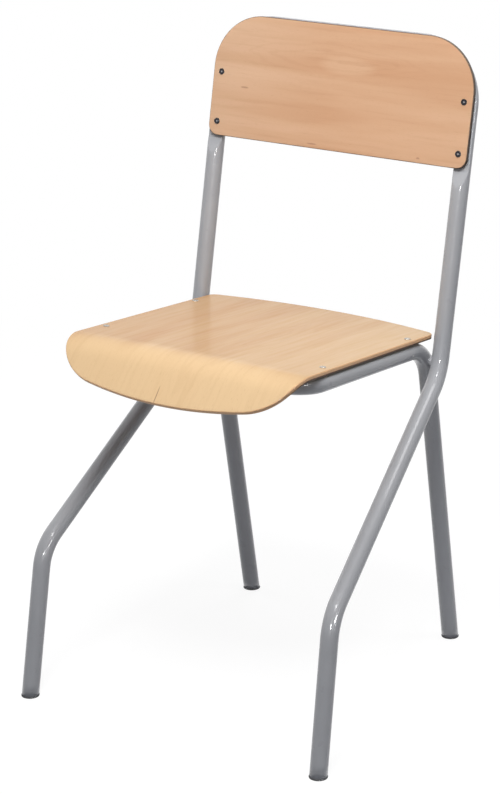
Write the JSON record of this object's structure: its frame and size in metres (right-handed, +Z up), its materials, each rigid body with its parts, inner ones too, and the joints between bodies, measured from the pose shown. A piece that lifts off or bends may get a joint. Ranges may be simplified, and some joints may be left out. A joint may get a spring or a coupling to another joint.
{
  "type": "school chair",
  "caption": "School chair with a bent plywood seat rolled down at the front, a rounded plywood backrest and a bent steel tube frame on plastic foot plugs, for sitting at a desk.",
  "frame": {"origin": "on the floor, in the middle between front and rear feet and between left and right", "axes": "+Z up; the sitter faces -Y; +X to the right seen from the front"},
  "size_m": [0.4458, 0.4685, 0.8088],
  "materials": {
    "frame_paint": "grey powder coat, satin gloss",
    "beech_plywood": "clear lacquered beech veneer",
    "rivet_body": "bright",
    "rivet_stem": "dull, broken off below the head",
    "foot_plug": "moulded, dark grey"
  },
  "bodies": {
    "root": {"back_and_front_leg_tube": "frame_paint", "back_rivet_high_left": "rivet_body", "back_rivet_high_left_mandrel": "rivet_stem", "back_rivet_high_right": "rivet_body", "back_rivet_high_right_mandrel": "rivet_stem", "back_rivet_low_left": "rivet_body", "back_rivet_low_left_mandrel": "rivet_stem", "back_rivet_low_right": "rivet_body", "back_rivet_low_right_mandrel": "rivet_stem", "backrest_panel": "beech_plywood", "front_foot_plug_left": "foot_plug", "front_foot_plug_right": "foot_plug", "rear_foot_plug_left": "foot_plug", "rear_foot_plug_right": "foot_plug", "seat_and_rear_leg_tube": "frame_paint", "seat_panel": "beech_plywood", "seat_rivet_front_left": "rivet_body", "seat_rivet_front_left_mandrel": "rivet_stem", "seat_rivet_front_right": "rivet_body", "seat_rivet_front_right_mandrel": "rivet_stem", "seat_rivet_rear_left": "rivet_body", "seat_rivet_rear_left_mandrel": "rivet_stem", "seat_rivet_rear_right": "rivet_body", "seat_rivet_rear_right_mandrel": "rivet_stem", "weld_left": "frame_paint", "weld_right": "frame_paint"}
  },
  "joints": []
}
